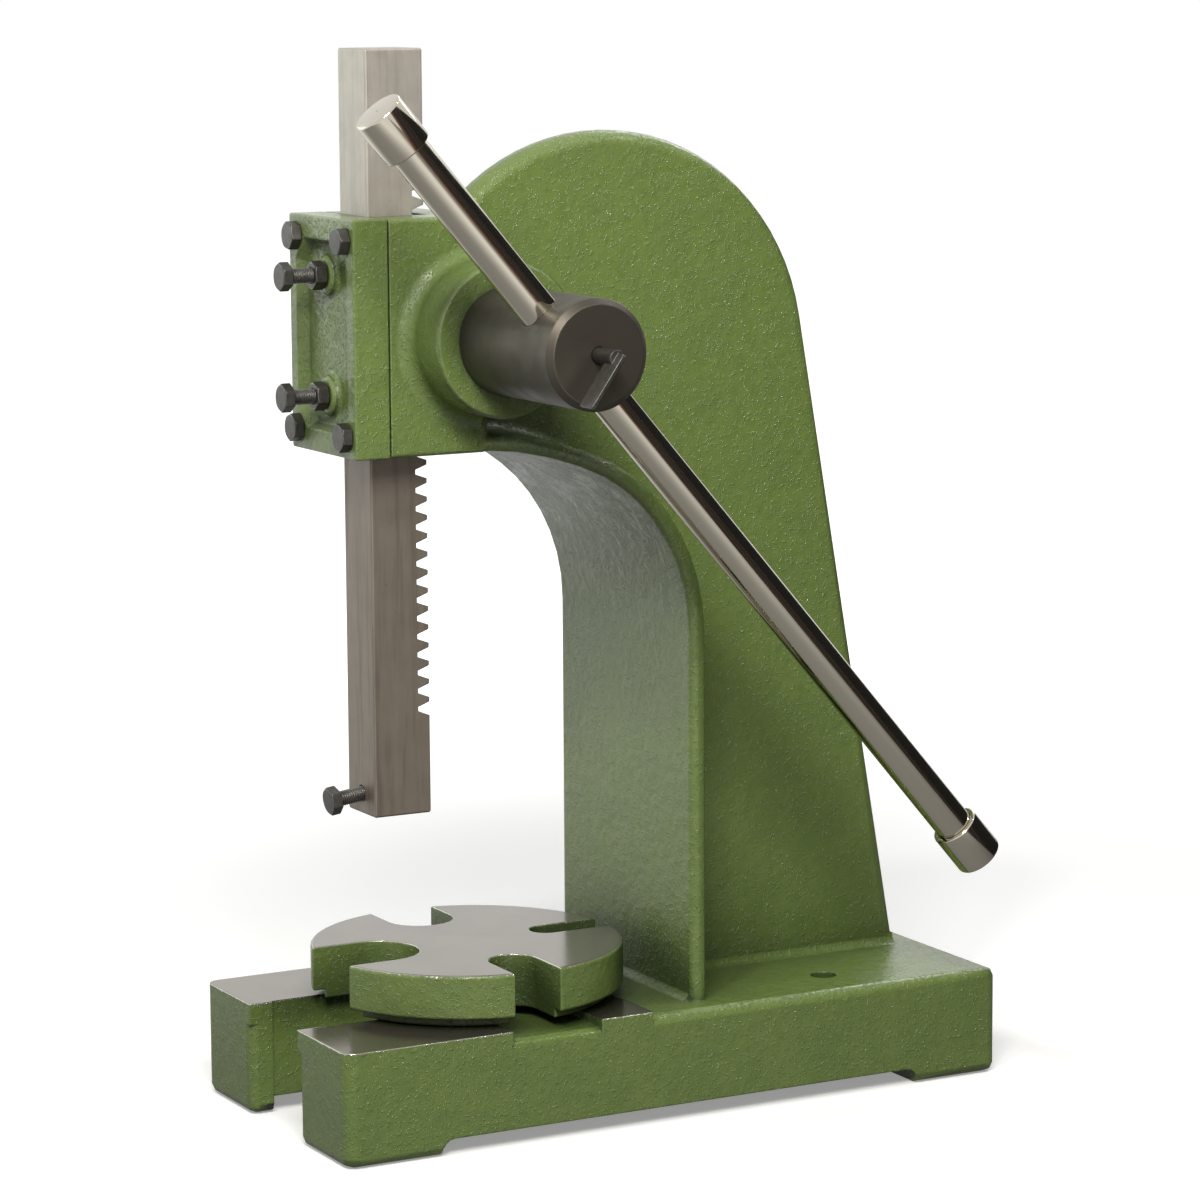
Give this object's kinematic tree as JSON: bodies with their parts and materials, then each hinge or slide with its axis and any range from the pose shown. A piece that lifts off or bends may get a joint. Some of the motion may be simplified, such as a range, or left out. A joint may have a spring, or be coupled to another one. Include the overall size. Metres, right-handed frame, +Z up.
{
  "type": "arbor press",
  "caption": "Bench arbor press: a cast C frame, a rack-driven square ram, a pinion hub with a sliding lever and clamp screw, and a turning slotted work plate.",
  "frame": {"origin": "middle of the rear foot's underside, on the bench", "axes": "+Z up, -Y towards the fork and the user, +X towards the hub and the lever"},
  "size_m": [0.2767, 0.394, 0.552],
  "materials": {
    "green_paint": "semi-gloss enamel over a cast surface",
    "ground_steel": "ground",
    "black_steel": "black oxide",
    "fastener_steel": "black oxide",
    "chrome": "bright chrome",
    "plate_iron": "machined top, painted sides"
  },
  "bodies": {
    "frame": {"frame_casting": "green_paint", "ram_cover": "green_paint", "cover_bolt_1": "fastener_steel", "cover_bolt_2": "fastener_steel", "cover_bolt_3": "fastener_steel", "cover_bolt_4": "fastener_steel", "gib_screw_upper": "fastener_steel", "gib_screw_lower": "fastener_steel", "lock_nut_upper": "fastener_steel", "lock_nut_lower": "fastener_steel", "gib_strip": "ground_steel", "plate_pivot_pin": "ground_steel"},
    "ram": {"ram": "ground_steel"},
    "ram_set_screw": {"ram_set_screw": "fastener_steel"},
    "pinion": {"pinion_shaft": "black_steel", "tail_washer": "black_steel", "tail_bolt": "fastener_steel"},
    "lever": {"lever_rod": "chrome", "lever_cap_upper": "chrome", "lever_cap_lower": "chrome"},
    "clamp_screw": {"lever_clamp_screw": "fastener_steel"},
    "work_plate": {"work_plate": "plate_iron"}
  },
  "joints": [
    {"name": "pinion_turn", "type": "hinge", "parent": "frame", "child": "pinion", "pos_m": [0, -0.258, 0.408], "axis": [1, 0, 0], "range_deg": [-430, 186]},
    {"name": "ram_slide", "type": "slide", "parent": "frame", "child": "ram", "axis": [0, 0, 1], "range_m": [-0.0733, 0.17]},
    {"name": "lever_slide", "type": "slide", "parent": "pinion", "child": "lever", "axis": [0, -0.6547, 0.7559], "range_m": [-0.102, 0.311]},
    {"name": "clamp_screw_turn", "type": "hinge", "parent": "pinion", "child": "clamp_screw", "pos_m": [0.17, -0.258, 0.408], "axis": [1, 0, 0], "range_deg": [0, 360]},
    {"name": "ram_set_screw_turn", "type": "hinge", "parent": "ram", "child": "ram_set_screw", "pos_m": [0, -0.3095, 0.1714], "axis": [0, -0.9903, -0.1392], "range_deg": [0, 360]},
    {"name": "plate_turn", "type": "hinge", "parent": "frame", "child": "work_plate", "pos_m": [0, -0.25, 0.0874], "axis": [0, 0, 1], "continuous": true}
  ],
  "couplings": [
    {"joint": "ram_slide", "follows": "pinion_turn", "m_per_rad": -0.0225}
  ]
}
